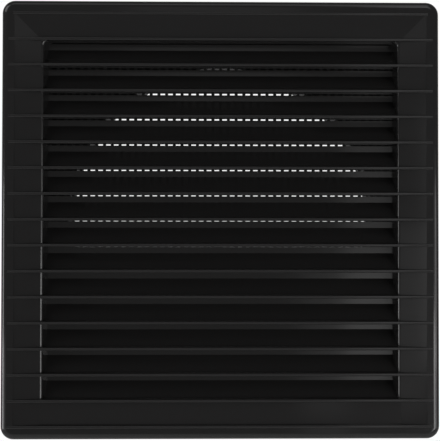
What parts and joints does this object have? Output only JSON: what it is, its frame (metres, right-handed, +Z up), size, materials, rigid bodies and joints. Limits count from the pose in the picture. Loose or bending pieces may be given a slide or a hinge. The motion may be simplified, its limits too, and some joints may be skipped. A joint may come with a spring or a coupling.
{
  "type": "ventilation grille",
  "caption": "Square black louvre grille with sloped slats across a ribbed frame, an insect net behind them and a wall plate with a round duct spigot.",
  "frame": {"origin": "on the spigot's axis, in the plane of the wall's face, where the plate's back lies on the wall", "axes": "+Z up, +X to the right as seen from the front, +Y into the wall along the spigot; the slats face -Y"},
  "size_m": [0.17, 0.036, 0.17],
  "materials": {
    "front_plastic": "black, fine satin sheen as moulded",
    "net_plastic": "black, plain",
    "plate_plastic": "black, plain as moulded"
  },
  "bodies": {
    "root": {"louvre_front": "front_plastic", "insect_net": "net_plastic", "spigot_plate": "plate_plastic"}
  },
  "joints": []
}
